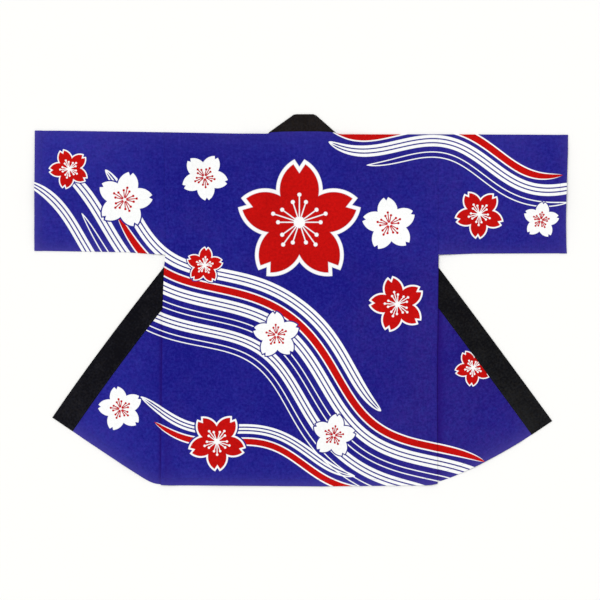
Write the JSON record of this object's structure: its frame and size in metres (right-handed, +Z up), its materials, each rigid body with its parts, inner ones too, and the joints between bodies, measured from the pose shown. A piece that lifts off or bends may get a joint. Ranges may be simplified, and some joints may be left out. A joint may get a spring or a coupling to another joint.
{
  "type": "happi coat",
  "caption": "Short open cotton coat with wide straight sleeves and a long collar band, laid flat with its back up and the fronts turned out.",
  "frame": {"origin": "on the surface the coat lies on, under the middle of its outline", "axes": "+X from the wearer's left sleeve to the right sleeve, +Y from the hem towards the neck, +Z up from the surface, out of the back of the coat"},
  "size_m": [1.302, 0.9074, 0.0054],
  "materials": {
    "blue_cotton": "matt plain-weave cotton, dyed deep blue",
    "black_cotton": "matt plain-weave cotton, dyed black"
  },
  "bodies": {
    "root": {"back": "blue_cotton", "front_left": "blue_cotton", "front_right": "blue_cotton", "sleeve_left": "blue_cotton", "sleeve_right": "blue_cotton", "collar_neck": "black_cotton", "collar_left": "black_cotton", "collar_right": "black_cotton"}
  },
  "joints": []
}
